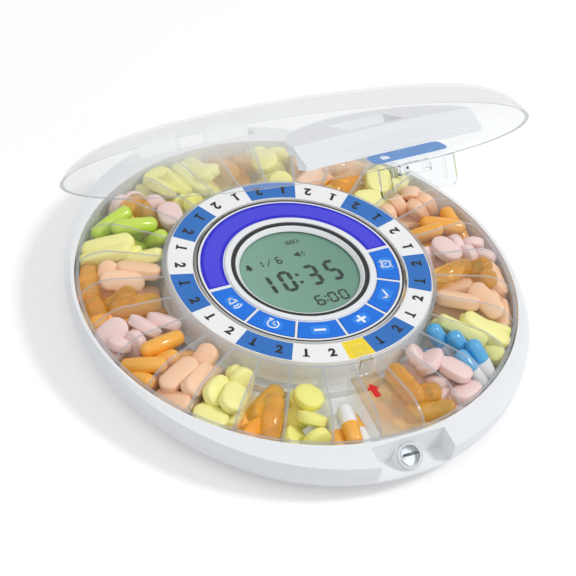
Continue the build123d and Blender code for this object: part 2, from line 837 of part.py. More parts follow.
def scoop(grow):
    """Space above the slope in front of the panel."""
    half = panel_half + fit + grow
    slope = front_slope(scoop_z - grow, scoop_slope)
    space = extrude(slope * Pos(0, -30) * Rectangle(2 * half, 60), 20)
    return space + block(-half, half, panel_front_y - fit - grow, panel_front_y + 1, scoop_z, 60)


def lid_dome():
    """Clear lid: an even shell with the scoop, the panel's opening and two hinge arms."""
    outer = lid_form(0)
    lid = (outer - scoop(0)) - (lid_form(lid_wall) - scoop(lid_wall - 0.2))
    lid -= extrude(Pos(0, 0, lid_rim_z) * panel_outline(fit), 30)
    below_rim = block(-beyond, beyond, 0, beyond, 0, lid_rim_z + 0.01)
    for side in (-1, 1):
        near, far = sorted((side * (ear_half + running), side * knuckle_reach))
        arm = block(near, far, hinge_y - 2, hinge_y + knuckle_radius, hinge_z, lid_rim_z + 4)
        lid += (arm & (outer + below_rim)) + hinge_barrel(near, far, knuckle_radius)
    lid -= hinge_barrel(-2 * knuckle_reach, 2 * knuckle_reach, hinge_pin_radius + pin_fit)
    return opened(lid)


def outlet_block(grow, low):
    """Upright space of the outlet above a height."""
    half = outlet_half + grow
    return block(-half, half, outlet_front_y - grow, outlet_back_y + grow, low, 2 * outlet_low_z)


def dispensing_panel():
    """White hood let into the lid: a ramp at the front and the outlet through its top."""
    top = crown(panel_lift)
    body = extrude(Pos(0, 0, panel_low_z) * panel_outline(0), 30) & top
    inside = extrude(Pos(0, 0, panel_low_z - 1) * panel_outline(-panel_wall), 40)
    ramp = front_slope(ramp_z, ramp_angle)
    wide = Rectangle(4 * panel_half, 4 * ramp_length)
    above = extrude(ramp * wide, ramp_length)
    hollow = inside & (Pos(0, 0, -panel_wall) * top)
    hollow -= extrude(ramp.offset(-panel_wall) * wide, ramp_length)
    shell = body - above - hollow
    shell -= block(-2 * panel_half, 2 * panel_half, panel_front_y + panel_side_start, 0, 0, panel_side_z)
    rim = outlet_block(outlet_wall, outlet_low_z) & (body - above)
    return opened(shell + rim - outlet_block(0, 0))


def latch_plate():
    """Clear plate below the lid's front edge, with two ribs and a catch with two windows."""
    back = latch_y + latch_thickness
    plate = block(-latch_half, latch_half, latch_y, back, latch_bottom_z, latch_top_z)
    plate = fillet(plate.edges().filter_by(Axis.Y).sort_by(Axis.Z)[:2], latch_corner)
    for x in (-latch_rib_x, latch_rib_x):
        half = latch_rib_width / 2
        plate += block(x - half, x + half, latch_y - 0.5, latch_y + fit, latch_bottom_z + 3, lid_rim_z - 1)
    plate += block(-catch_half, catch_half, back - fit, latch_y + catch_depth, catch_low_z, latch_top_z)
    for x in (-catch_window_x, catch_window_x):
        half = catch_window_width / 2
        low = catch_low_z + catch_wall
        plate -= block(x - half, x + half, back, back + catch_depth, low, lid_rim_z - 1)
    return opened(plate)


def latch_label():
    """Thin label on the slope above the latch."""
    face = RectangleRounded(2 * latch_half - 1, label_width, label_corner)
    face = front_slope(scoop_z, scoop_slope) * Pos(0, -label_drop) * face
    return opened(extrude(face, label_thickness))


def save(name, shape):
    """Writes one node, which may hold several like pieces."""
    solids = shape if isinstance(shape, list) else [shape]
    pieces = [solid for item in solids for solid in item.solids()]
    export_step(Compound(children=pieces), f"parts/{name}.step")
    print(name, round(sum(piece.volume for piece in pieces) / 1000, 2), "cm3")


keys = ["sound", "clock", "minus", "plus", "confirm", "alarm"]

os.makedirs("parts", exist_ok=True)
save("base_shell", base_shell())
save("bottom_cover", bottom_cover())
save("battery_door", battery_door())
for number in range(cell_count):
    save(f"battery_cell_{number + 1}", cell(number))
save("battery_contacts", battery_contacts())
for number in range(foot_count):
    save(f"foot_{number + 1}", foot(number))
save("cover_screws", cover_screws())
save("hinge_pin", hinge_barrel(-notch_half - pin_seat, notch_half + pin_seat, hinge_pin_radius))
save("drive_motor", drive_motor())
save("motor_plate", motor_plate())
save("motor_screws", motor_screws())
save("motor_shaft", motor_shaft())
save("drive_pinion", drive_pinion())
save("tray_gear", tray_gear())
save("tray_floor", tray_floor_ring())
save("tray_outer_wall", tray_outer_wall())
save("tray_inner_wall", tray_inner_wall())
save("tray_dividers", tray_dividers())
save("dosage_ring", dosage_ring())
save("start_plate", start_plate())
save("ring_clip", ring_clip())
save("hub_housing", hub_housing())
for number, key in enumerate(keys):
    save(f"button_{key}", button(number))
save("band_label", band_label())
save("display_bezel", display_bezel())
save("display_ring", display_ring())
save("display_window", display_window())
save("lcd_module", lcd_module())
save("circuit_board", circuit_board())
save("board_screws", board_screws())
save("key_switches", key_switches())
save("key_pad", key_pad())
save("buzzer", buzzer())
save("lock_ring", lock_ring())
save("lock_barrel", lock_barrel())
save("lid_dome", lid_dome())
save("dispensing_panel", dispensing_panel())
save("latch_plate", latch_plate())
save("latch_label", latch_label())
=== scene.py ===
import bpy
import bmesh
import json
import random
from math import atan2, cos, hypot, pi, radians, sin
from mathutils import Matrix, Quaternion, Vector


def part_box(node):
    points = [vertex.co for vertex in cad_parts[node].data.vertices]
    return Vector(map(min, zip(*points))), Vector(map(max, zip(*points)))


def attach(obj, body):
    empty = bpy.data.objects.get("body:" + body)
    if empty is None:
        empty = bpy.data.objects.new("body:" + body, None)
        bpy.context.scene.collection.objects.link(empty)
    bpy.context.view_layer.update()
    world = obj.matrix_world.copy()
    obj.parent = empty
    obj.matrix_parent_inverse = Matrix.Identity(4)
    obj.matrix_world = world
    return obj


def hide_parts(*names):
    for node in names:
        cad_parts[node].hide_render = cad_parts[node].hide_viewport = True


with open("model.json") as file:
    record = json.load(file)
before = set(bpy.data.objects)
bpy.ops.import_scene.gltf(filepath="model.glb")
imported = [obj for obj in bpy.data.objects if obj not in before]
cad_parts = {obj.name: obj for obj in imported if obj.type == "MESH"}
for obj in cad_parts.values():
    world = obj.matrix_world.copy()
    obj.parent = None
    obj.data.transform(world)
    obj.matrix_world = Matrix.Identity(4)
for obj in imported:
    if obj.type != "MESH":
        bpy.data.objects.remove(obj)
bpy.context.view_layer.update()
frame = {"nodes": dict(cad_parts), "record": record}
nodes = frame["nodes"]
record = frame["record"]
bodyOf = {node: body for body, members in record["behaviour"]["bodies"].items() for node in members}
mm = 0.001
overlap = 0.02              # mm that a print starts below the face it lies on
weldWithin = 0.002 * mm     # points closer than this become one
lidOpen = radians(35.05)    # the lid's angle in the frame


def top(node):
    # highest point of a CAD node, in mm
    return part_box(node)[1][2] / mm


def reach(node):
    # furthest point of a CAD node to the right, in mm
    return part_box(node)[1][0] / mm


def linear(hexColour):
    # sRGB hex to the linear colour that a socket takes
    parts = [int(hexColour[i:i + 2], 16) / 255 for i in (1, 3, 5)]
    return tuple(c / 12.92 if c <= 0.04045 else ((c + 0.055) / 1.055) ** 2.4 for c in parts) + (1.0,)


def addNode(tree, kind, inputs=None, **settings):
    # one shader node with its settings and its links or values
    node = tree.nodes.new(kind)
    for name, value in settings.items():
        setattr(node, name, value)
    for socket, value in (inputs or {}).items():
        if isinstance(value, bpy.types.NodeSocket):
            tree.links.new(value, node.inputs[socket])
        else:
            node.inputs[socket].default_value = value
    return node


def newMaterial(name):
    material = bpy.data.materials.new(name)
    material.use_nodes = True
    material.node_tree.nodes.clear()
    return material, material.node_tree


def linkObject(name, bm, materials, body, smoothAngle=32, made=True):
    # a bmesh becomes a piece: welded, smooth below the given angle, riding on its body
    # a made one is turned outwards; a copy of a CAD node already is
    bmesh.ops.remove_doubles(bm, verts=bm.verts, dist=weldWithin)
    if made:
        bmesh.ops.recalc_face_normals(bm, faces=bm.faces)
    for face in bm.faces:
        face.smooth = True
    for edge in bm.edges:
        edge.smooth = len(edge.link_faces) == 2 and edge.calc_face_angle(0) < radians(smoothAngle)
    mesh = bpy.data.meshes.new(name)
    bm.to_mesh(mesh)
    bm.free()
    for material in materials:
        mesh.materials.append(material)
    piece = bpy.data.objects.new(name, mesh)
    bpy.context.scene.collection.objects.link(piece)
    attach(piece, body)
    return piece


def spot(radius, angle, z=0.0):
    # a point in metres from a radius in mm, an angle in degrees and a height in mm
    return Vector((radius * cos(radians(angle)), radius * sin(radians(angle)), z)) * mm


def facingOut(radius, angle, z):
    # places a flat drawing on the ring: its right runs counter-clockwise, its top to the middle
    return Matrix.Translation(spot(radius, angle, z)) @ Matrix.Rotation(radians(angle + 90), 4, "Z")


def arcSlab(bm, inner, outer, low, high, first, last, centre=(0, 0), stepAngle=2.5):
    # the cross-section of a flat curved strip, spun between two angles
    middle = Vector((centre[0], centre[1], 0)) * mm
    corners = [(inner, low), (outer, low), (outer, high), (inner, high)]
    verts = [bm.verts.new(middle + spot(r, first, z)) for r, z in corners]
    section = bm.faces.new(verts)
    steps = max(1, round(abs(last - first) / stepAngle))
    bmesh.ops.spin(bm, geom=[section] + verts + list(section.edges), cent=middle, axis=(0, 0, 1),
                   angle=radians(last - first), steps=steps)


def barSlab(bm, start, end, width, low, high):
    # a straight strip between two points
    dx, dy = end[0] - start[0], end[1] - start[1]
    length = hypot(dx, dy)
    size = Matrix.Diagonal((length * mm, width * mm, (high - low) * mm, 1))
    middle = Vector(((start[0] + end[0]) / 2, (start[1] + end[1]) / 2, (low + high) / 2)) * mm
    place = Matrix.Translation(middle) @ Matrix.Rotation(atan2(dy, dx), 4, "Z") @ size
    return bmesh.ops.create_cube(bm, size=1, matrix=place)["verts"]


def strokeLine(bm, points, width, low, high, closed=False):
    # a drawn line: straight strips with a round dot at each corner
    following = points[1:] + points[:1] if closed else points[1:]
    for start, end in zip(points, following):
        barSlab(bm, start, end, width, low, high)
    for x, y in points:
        dotSlab(bm, x, y, width / 2, low, high)


def dotSlab(bm, x, y, radius, low, high, sides=12):
    # a flat round dot
    place = Matrix.Translation(Vector((x, y, (low + high) / 2)) * mm)
    bmesh.ops.create_cone(bm, cap_ends=True, segments=sides, radius1=radius * mm,
                          radius2=radius * mm, depth=(high - low) * mm, matrix=place)


def uprights(edges):
    # the edges that stand between the two faces of a flat print
    return [edge for edge in edges if abs(edge.verts[0].co.z - edge.verts[1].co.z) > 0.001 * mm]


def prism(bm, outline, low, high):
    # a flat shape from a few corner points, given its thickness
    face = bm.faces.new([bm.verts.new(Vector((x, y, low)) * mm) for x, y in outline])
    grown = bmesh.ops.extrude_face_region(bm, geom=[face])
    raised = [item for item in grown["geom"] if isinstance(item, bmesh.types.BMVert)]
    bmesh.ops.translate(bm, verts=raised, vec=(0, 0, (high - low) * mm))


def textMesh(word, size, depth, bold=0.0):
    # a number as a flat mesh around its own middle
    curve = bpy.data.curves.new("number", "FONT")
    curve.body = word
    curve.size = size * mm
    curve.extrude = depth / 2 * mm
    curve.offset = bold * mm
    curve.resolution_u = 4
    curve.align_x = "CENTER"
    curve.align_y = "CENTER"
    holder = bpy.data.objects.new("number", curve)
    bpy.context.scene.collection.objects.link(holder)
    bpy.context.view_layer.update()
    evaluated = holder.evaluated_get(bpy.context.evaluated_depsgraph_get())
    mesh = bpy.data.meshes.new_from_object(evaluated)
    bpy.data.objects.remove(holder)
    bpy.data.curves.remove(curve)
    return mesh


# camera, floor and lamps, in mm and degrees

cameraSettings = dict(place=(-454.62, -672.27, 749.05), lookAt=(9.88, 22.01, 0.0), roll=9.745,
                      lens=150.55)
floorSettings = dict(half=3000.0, colour="#E9E9EA", lift=0.26)
worldSettings = dict(ambient=0.55)
lampSettings = [
    dict(name="keyLamp", azimuth=-38, elevation=52, distance=1900, size=330, watts=12.5),
    dict(name="fillLamp", azimuth=-150, elevation=60, distance=1900, size=1500, watts=6.0),
]


def addCamera(s):
    # looks at a point of the device, then rolls
    data = bpy.data.cameras.new("camera")
    data.lens = s["lens"]
    data.sensor_width = 36.0
    data.clip_end = 20.0
    camera = bpy.data.objects.new("camera", data)
    place = Vector(s["place"]) * mm
    aim = Vector(s["lookAt"]) * mm - place
    camera.location = place
    camera.rotation_mode = "QUATERNION"
    roll = Quaternion((0, 0, 1), radians(s["roll"]))
    camera.rotation_quaternion = aim.to_track_quat("-Z", "Y") @ roll
    bpy.context.scene.collection.objects.link(camera)
    bpy.context.scene.camera = camera


def whiteRays(tree):
    # 1 for rays that see the backdrop directly, in a gloss or through clear plastic, 0 for its light
    rays = addNode(tree, "ShaderNodeLightPath").outputs
    sharp = addNode(tree, "ShaderNodeMath", {0: rays["Is Camera Ray"], 1: rays["Is Glossy Ray"]},
                    operation="MAXIMUM").outputs[0]
    return addNode(tree, "ShaderNodeMath", {0: sharp, 1: rays["Is Transmission Ray"]},
                   operation="MAXIMUM").outputs[0]


def addFloor(s):
    # its lift whitens it for the eye only, so it keeps the shadow and sends back no extra light
    bm = bmesh.new()
    bmesh.ops.create_grid(bm, x_segments=1, y_segments=1, size=s["half"] * mm)
    mesh = bpy.data.meshes.new("floor")
    bm.to_mesh(mesh)
    bm.free()
    floor = bpy.data.objects.new("floor", mesh)
    bpy.context.scene.collection.objects.link(floor)
    material, tree = newMaterial("matt-white-table")
    paint = addNode(tree, "ShaderNodeBsdfDiffuse", {"Color": linear(s["colour"])})
    seen = addNode(tree, "ShaderNodeMath", {0: whiteRays(tree), 1: s["lift"]}, operation="MULTIPLY")
    lift = addNode(tree, "ShaderNodeEmission", {"Strength": seen.outputs[0]})
    total = addNode(tree, "ShaderNodeAddShader", {0: paint.outputs[0], 1: lift.outputs[0]})
    addNode(tree, "ShaderNodeOutputMaterial", {"Surface": total.outputs[0]})
    mesh.materials.append(material)


def addWorld(s):
    # even light from all round, white where it is seen
    world = bpy.data.worlds.new("studio")
    world.use_nodes = True
    tree = world.node_tree
    tree.nodes.clear()
    white = linear("#FFFFFF")
    soft = addNode(tree, "ShaderNodeBackground", {"Color": white, "Strength": s["ambient"]})
    seen = addNode(tree, "ShaderNodeBackground", {"Color": white, "Strength": 1.0})
    both = addNode(tree, "ShaderNodeMixShader",
                   {0: whiteRays(tree), 1: soft.outputs[0], 2: seen.outputs[0]})
    addNode(tree, "ShaderNodeOutputWorld", {"Surface": both.outputs[0]})
    bpy.context.scene.world = world


def addLamp(s):
    # a square soft lamp that faces the middle of the device
    data = bpy.data.lights.new(s["name"], "AREA")
    data.energy = s["watts"]
    data.size = s["size"] * mm
    lamp = bpy.data.objects.new(s["name"], data)
    turn, rise = radians(s["azimuth"]), radians(s["elevation"])
    away = Vector((cos(turn) * cos(rise), sin(turn) * cos(rise), sin(rise)))
    lamp.location = away * s["distance"] * mm
    lamp.rotation_mode = "QUATERNION"
    lamp.rotation_quaternion = (-away).to_track_quat("-Z", "Y")
    bpy.context.scene.collection.objects.link(lamp)


addCamera(cameraSettings)
addFloor(floorSettings)
addWorld(worldSettings)
for settings in lampSettings:
    addLamp(settings)
bpy.context.scene.view_settings.view_transform = "Standard"
print("stage ready")


# materials

def finishOutput(tree, surface):
    addNode(tree, "ShaderNodeOutputMaterial", {"Surface": surface.outputs[0]})


def objectNoise(tree, place, size, detail=2.0):
    # noise whose features are about the given number of mm across
    return addNode(tree, "ShaderNodeTexNoise",
                   {"Vector": place, "Scale": 1 / (size * mm), "Detail": detail}).outputs["Fac"]


def mixColour(tree, share, first, second):
    mix = addNode(tree, "ShaderNodeMix", {0: share, 6: first, 7: second}, data_type="RGBA")
    return mix.outputs[2]


def wavyNormal(tree, size, depth, strength=0.5):
    # slow waves of a moulded face, in mm across and mm deep
    place = addNode(tree, "ShaderNodeTexCoord").outputs["Object"]
    return addNode(tree, "ShaderNodeBump", {"Height": objectNoise(tree, place, size, 1.0),
                                            "Distance": depth * mm, "Strength": strength}).outputs[0]


def lampsThrough(tree, seen, colour):
    # the eye meets the finish, and a lamp's light passes as through tinted glass
    through = addNode(tree, "ShaderNodeBsdfTransparent", {"Color": linear(colour)})
    rays = addNode(tree, "ShaderNodeLightPath").outputs
    return addNode(tree, "ShaderNodeMixShader",
                   {0: rays["Is Shadow Ray"], 1: seen.outputs[0], 2: through.outputs[0]})


def opaque(name, colour, shade, roughness, ior=1.5, metallic=0.0, grain=0.35, relief=0.006,
           flow=40.0, stretch=(1, 1, 1), speckle=0.0, speckleColour="#FFFFFF", speckleSize=0.6,
           coat=0.0, sheen=0.0):
    # a solid finish: slow drift between two near colours, a grain in its gloss and relief that is
    # drawn coarser than the real one so that it shows, and speckles where asked for
    material, tree = newMaterial(name)
    place = addNode(tree, "ShaderNodeTexCoord").outputs["Object"]
    drawn = addNode(tree, "ShaderNodeMapping", {"Vector": place, "Scale": stretch}).outputs[0]
    hue = mixColour(tree, objectNoise(tree, place, flow), linear(colour), linear(shade))
    if speckle:
        share = addNode(tree, "ShaderNodeMapRange",
                        {"Value": objectNoise(tree, place, speckleSize, 3.0), "From Min": 0.52,
                         "From Max": 0.70, "To Max": speckle})
        hue = mixColour(tree, share.outputs[0], hue, linear(speckleColour))
    fine = objectNoise(tree, drawn, grain, 3.0)
    gloss = addNode(tree, "ShaderNodeMapRange",
                    {"Value": fine, "To Min": max(roughness - glossSpread, 0.02),
                     "To Max": roughness + glossSpread})
    bump = addNode(tree, "ShaderNodeBump",
                   {"Height": fine, "Distance": relief * mm, "Strength": 0.6})
    surface = addNode(tree, "ShaderNodeBsdfPrincipled",
                      {"Base Color": hue, "Roughness": gloss.outputs[0], "Metallic": metallic,
                       "Normal": bump.outputs[0], "Coat Weight": coat, "Sheen Weight": sheen})
    if not metallic:
        surface.inputs["IOR"].default_value = ior
    finishOutput(tree, surface)
    return material


def clearPlastic(name, colour, roughness=0.03, ior=1.49, wave=7.0, relief=0.03):
    # thicker clear moulding: its waves bend what is behind
    material, tree = newMaterial(name)
    solid = addNode(tree, "ShaderNodeBsdfPrincipled",
                    {"Base Color": linear(colour), "Roughness": roughness, "IOR": ior,
                     "Transmission Weight": 1.0, "Normal": wavyNormal(tree, wave, relief)})
    finishOutput(tree, lampsThrough(tree, solid, "#F4F7F8"))
    return material


def thinPlastic(name, tint, body, least, most, power=3.0, roughness=0.05, wave=12.0, relief=0.03):
    # thin clear wall: seen straight through where it faces the eye, whiter and glossier where it
    # turns away; least and most are its shares of the body colour
    material, tree = newMaterial(name)
    normal = wavyNormal(tree, wave, relief)
    turned = addNode(tree, "ShaderNodeLayerWeight", {"Blend": 0.5, "Normal": normal})
    steep = addNode(tree, "ShaderNodeMath", {0: turned.outputs["Facing"], 1: power},
                    operation="POWER")
    share = addNode(tree, "ShaderNodeMapRange",
                    {"Value": steep.outputs[0], "To Min": least, "To Max": most})
    solid = addNode(tree, "ShaderNodeBsdfPrincipled",
                    {"Base Color": linear(body), "Roughness": roughness, "IOR": 1.49,
                     "Normal": normal})
    through = addNode(tree, "ShaderNodeBsdfTransparent", {"Color": linear(tint)})
    both = addNode(tree, "ShaderNodeMixShader",
                   {0: share.outputs[0], 1: through.outputs[0], 2: solid.outputs[0]})
    finishOutput(tree, lampsThrough(tree, both, tint))
    return material


def gelatin(name, colour, shade, transmission=0.85, roughness=0.06, cloud=5.0, dent=3.0):
    # filled soft gelatin: oil-clear, with slow clouds inside and shallow dents, sizes in mm
    material, tree = newMaterial(name)
    place = addNode(tree, "ShaderNodeTexCoord").outputs["Object"]
    hue = mixColour(tree, objectNoise(tree, place, cloud), linear(colour), linear(shade))
    solid = addNode(tree, "ShaderNodeBsdfPrincipled",
                    {"Base Color": hue, "Roughness": roughness, "IOR": 1.42,
                     "Transmission Weight": transmission,
                     "Normal": wavyNormal(tree, dent, 0.25, 0.6)})
    finishOutput(tree, lampsThrough(tree, solid, colour))
    return material


def displayGlass(name, litAndShadedGreens, angle, lightSpan, film=0.3):
    # reflective display: satin polariser film of grey-green, with painted light that brightens it
    # from one side to the other over the given width in mm
    material, tree = newMaterial(name)
    place = addNode(tree, "ShaderNodeTexCoord").outputs["Object"]
    # painted light: the film's green goes from the shaded to the lit tone across it
    turned = addNode(tree, "ShaderNodeMapping", {"Vector": place, "Rotation": (0, 0, radians(angle)),
                                                 "Scale": (1 / (lightSpan * mm), 1, 1)})
    across = addNode(tree, "ShaderNodeSeparateXYZ", {0: turned.outputs[0]})
    part = addNode(tree, "ShaderNodeMapRange",
                   {"Value": across.outputs["X"], "From Min": -0.5, "From Max": 0.5})
    hue = mixColour(tree, part.outputs[0], linear(litAndShadedGreens[0]), linear(litAndShadedGreens[1]))
    gloss = addNode(tree, "ShaderNodeMapRange", {"Value": objectNoise(tree, place, film),
                                                 "To Min": 0.34, "To Max": 0.46})
    surface = addNode(tree, "ShaderNodeBsdfPrincipled",
                      {"Base Color": hue, "Roughness": gloss.outputs[0], "IOR": 1.5})
    finishOutput(tree, surface)
    return material


glossSpread = 0.06    # how far a grain moves the roughness either way

finishes = dict(
    # gloss-moulded ABS: bright white with soft broad highlights
    white=opaque("abs-gloss-moulded-white", "#F1F3F5", "#EAEDF0", 0.30, ior=1.53),
    # the cover is moulded in a spark-eroded tool, so it is duller
    cover=opaque("abs-matt-moulded-white", "#E6E8EB", "#DDE0E4", 0.52, ior=1.53, grain=0.5,
                 relief=0.02),
    # satin-moulded ABS of the hood: cool white with a slow sheen
    hood=opaque("abs-satin-moulded-white", "#ECEEF2", "#E2E5EA", 0.38, ior=1.53),
    # moulded polystyrene of the tray: faces nearly unseen; the pale grey line along each top edge is
    # painted shade, standing in for the line that light bent in the edge makes
    clearTray=thinPlastic("polystyrene-clear-moulded", "#FBFCFC", "#EEF0F1", 0.05, 0.45),
    trayEdgePaintedShade=thinPlastic("polystyrene-clear-moulded-edge-painted-shade", "#F0F1F2", "#B9BCC0", 0.45, 0.80,
                          power=1.5),
    # the toothed ring: so many faces behind each other that it looks frosted
    clearGear=thinPlastic("polystyrene-clear-moulded-gear", "#FAFBFB", "#FBFBFC", 0.50, 0.80,
                          power=2.0, wave=2.4, relief=0.30),
    # moulded SAN of the lid: clear over the crown, milky where the skirt turns away
    clearLid=thinPlastic("san-clear-moulded", "#FCFDFD", "#FAFBFC", 0.09, 0.42, power=2.6,
                         wave=16.0, relief=0.06),
    # painted shade: its cut rim is coloured grey-green, standing in for the line that light bent in
    # the rim makes
    lidRimPaintedShade=thinPlastic("san-clear-moulded-edge-painted-shade", "#C4CCCA", "#737B7A", 0.60, 0.85, power=1.2),
    # thicker clear pieces: bright and dark glints where they bend what lies behind them
    clearLatch=clearPlastic("san-clear-moulded-latch", "#F7FAFB", ior=1.35, wave=16.0, relief=0.06),
    clip=clearPlastic("polystyrene-clear-moulded-clip", "#EEF0F0", wave=2.0, relief=0.25),
    knob=clearPlastic("abs-clear-moulded-knob", "#F2F5F7", ior=1.45, wave=3.0, relief=0.15),
    # polished acrylic: seen only by its reflection
    window=thinPlastic("acrylic-clear-polished", "#FBFDFC", "#C9D6D0", 0.015, 0.35, power=3.5,
                       wave=40.0, relief=0.01),
    # the home compartment's plate: clear with a faint warm tint
    homePlate=thinPlastic("polystyrene-warm-tinted-plate", "#F5ECDF", "#D3BA98", 0.22, 0.60),
    # printed film: flat even colour under a satin face
    ringWhite=opaque("pet-film-printed-white", "#F6F7F7", "#F1F2F3", 0.34, grain=0.8),
    ringBlue=opaque("pet-film-printed-blue", "#2171C4", "#1E6BBC", 0.34, grain=0.8),
    ringYellow=opaque("pet-film-printed-yellow", "#FBDF34", "#F7D92B", 0.34, grain=0.8),
    bandFill=opaque("pet-film-printed-violet", "#4640E2", "#3D38DA", 0.34, grain=0.8),
    bandEdge=opaque("pet-film-printed-deep-blue", "#0B02CE", "#0A02C4", 0.34, grain=0.8),
    labelBlue=opaque("vinyl-label-printed-blue", "#4F90D6", "#3B7CC6", 0.32, grain=0.8),
    # screen ink: dense and a little duller than the film under it; the same black also draws the
    # painted shadow line around the hub's rim
    ink=opaque("screen-ink-black-and-painted-gap-shadow", "#0D0E11", "#15161A", 0.40, grain=0.5),
    arrowRed=opaque("screen-ink-red", "#DC1014", "#D00C10", 0.38),
    # satin-moulded ABS caps, each with a lighter patch and pad-printed white drawings
    cap=opaque("abs-satin-moulded-blue", "#0576E8", "#036EDE", 0.36, ior=1.42),
    capPatch=opaque("cap-patch-light-blue", "#1C88F2", "#1883EC", 0.36),
    capInk=opaque("pad-print-white", "#F5F8FC", "#EEF3FA", 0.38),
    # piano-black moulded ring: deep black with sharp highlights
    black=opaque("abs-gloss-moulded-black", "#07080A", "#0B0C0F", 0.16, ior=1.53),
    # reflective LCD: grey-green film, near-black lit bars, unlit bars barely darker than the film
    # its two greens are a lit and a shaded tone of the film, blended into a painted gradient of
    # light
    display=displayGlass("lcd-polariser-film-green", ("#86AE9B", "#64907F"), 35, 60),
    segment=opaque("lcd-segment-dark", "#0F1F1B", "#12241F", 0.42),
    ghost=opaque("lcd-segment-off", "#7FA593", "#7BA18F", 0.42),
    # glass-epoxy board: dark green lacquer over a paler weave
    board=opaque("fr4-solder-mask-green", "#1C5B34", "#174F2C", 0.30, speckle=0.35,
                 speckleColour="#2D7A4A"),
    # moulded nylon: soft black
    switch=opaque("nylon-matt-black", "#17181A", "#1F2022", 0.50),
    # moulded silicone and rubber: no highlight, a slight bloom on the silicone
    pad=opaque("silicone-moulded-grey", "#8C8F94", "#83868B", 0.62, sheen=0.1),
    foot=opaque("rubber-moulded-dark", "#26272A", "#1F2023", 0.70, grain=0.3, relief=0.02),
    # zinc-plated steel, a drawn can with its lines round it, nickel-plated spring steel
    steel=opaque("steel-zinc-plated", "#C9CCD0", "#B9BDC3", 0.28, metallic=1.0, grain=0.4),
    motorCan=opaque("steel-drawn-motor-can", "#B9BCC0", "#A6AAAF", 0.32, metallic=1.0,
                    stretch=(1, 1, 12), grain=0.8),
    contact=opaque("spring-steel-nickel-plated", "#D2CDC0", "#C6C1B2", 0.22, metallic=1.0,
                   grain=0.3),
    # chromed die casting: mirror with a breath of haze
    chrome=opaque("zinc-die-cast-chromed", "#DADDE1", "#CDD1D6", 0.12, metallic=1.0, grain=0.6),
    # shrink sleeve of a cell: slate blue, glossy along its length
    sleeve=opaque("pvc-shrink-sleeve-slate", "#2B3F5C", "#243650", 0.25, coat=0.3,
                  stretch=(0.2, 1, 1)),
    # machined acetal: waxy off-white
    acetal=opaque("acetal-machined-natural", "#ECE9DF", "#E4E0D4", 0.42, ior=1.48),
    # film-coated tablets: soft eggshell; the pressed one is chalkier
    paleYellow=opaque("tablet-film-coated-pale-yellow", "#F9F5A8", "#F5F098", 0.48, speckle=0.35,
                      speckleColour="#F9F6AE"),
    lemon=opaque("tablet-pressed-lemon", "#F6F28E", "#F0EB7C", 0.60, speckle=0.4,
                 speckleColour="#F8F5A4"),
    peach=opaque("tablet-film-coated-peach", "#FBD2B0", "#F6C7A1", 0.46, speckle=0.3,
                 speckleColour="#F9D2B0"),
    pink=opaque("tablet-film-coated-pale-pink", "#F6DCD8", "#F0D1CD", 0.46, speckle=0.3,
                speckleColour="#F5DEDA"),
    # hard gelatin shells: clean colour with a wet gloss
    lime=opaque("capsule-hard-shell-lime", "#CFEA5C", "#C2DE4C", 0.22, coat=0.3),
    orange=opaque("capsule-hard-shell-orange", "#FBB848", "#F6AB38", 0.20, coat=0.4),
    skyBlue=opaque("capsule-hard-shell-blue", "#58B2E6", "#49A5DC", 0.20, coat=0.4),
    shellWhite=opaque("capsule-hard-shell-white", "#F3F3F2", "#ECECEC", 0.22, coat=0.4),
    # soft gelatin filled with oil: golden, light passes through it
    amber=gelatin("gelatin-soft-amber", "#FBDA80", "#F2C85E", transmission=0.74),
)
print("materials ready")


# every CAD node gets a merged copy with its own finish, its edges softened by the given mm

nodeFinish = dict(
    base_shell=("white", 0.3), bottom_cover=("cover", 0.3), battery_door=("cover", 0.25),
    hinge_pin=("steel", 0.1), lock_ring=("chrome", 0.15), lock_barrel=("knob", 0.2),
    hub_housing=("white", 0.1), display_bezel=("white", 0.2), display_ring=("black", 0.12),
    display_window=("window", 0.0), lcd_module=("display", 0.0), band_label=("bandEdge", 0.0),
    circuit_board=("board", 0.0), key_pad=("pad", 0.1), key_switches=("switch", 0.0),
    buzzer=("switch", 0.2), board_screws=("steel", 0.1), battery_contacts=("contact", 0.0),
    cover_screws=("steel", 0.1), drive_motor=("motorCan", 0.3), motor_plate=("steel", 0.1),
    motor_screws=("steel", 0.1), motor_shaft=("steel", 0.1), drive_pinion=("acetal", 0.0),
    tray_floor=("clearTray", 0.0), tray_outer_wall=("clearTray", 0.0),
    tray_inner_wall=("clearTray", 0.0), tray_dividers=("clearTray", 0.0),
    tray_gear=("clearGear", 0.0), dosage_ring=("ringWhite", 0.15), start_plate=("homePlate", 0.0),
    ring_clip=("clip", 0.0), lid_dome=("clearLid", 0.0), dispensing_panel=("hood", 0.3),
    latch_plate=("clearLatch", 0.0), latch_label=("labelBlue", 0.0),
)
for number in range(1, 5):
    nodeFinish[f"battery_cell_{number}"] = ("sleeve", 0.0)
    nodeFinish[f"foot_{number}"] = ("foot", 0.0)
for key in ("sound", "clock", "minus", "plus", "confirm", "alarm"):
    nodeFinish["button_" + key] = ("cap", 0.1)

# narrow faces of clear pieces that show as lines get a painted-shade finish, standing in for the
# light bent at their edges: their finish, the way they face with the lid shut and how closely, and
# how far in mm they may lie from the piece's end that way
edgeShadeFinish = dict(
    tray_dividers=("trayEdgePaintedShade", (0, 0, 1), 0.55, 50),
    tray_outer_wall=("trayEdgePaintedShade", (0, 0, 1), 0.9, 50),
    tray_inner_wall=("trayEdgePaintedShade", (0, 0, 1), 0.9, 50),
    lid_dome=("lidRimPaintedShade", (0, 0, -1), 0.9, 12.8),
)

# clear finishes neither shade what lies behind them nor soak up the light that bounces inside
clearFinishes = ("clearTray", "clearGear", "clearLid", "clearLatch", "window", "clip", "homePlate")
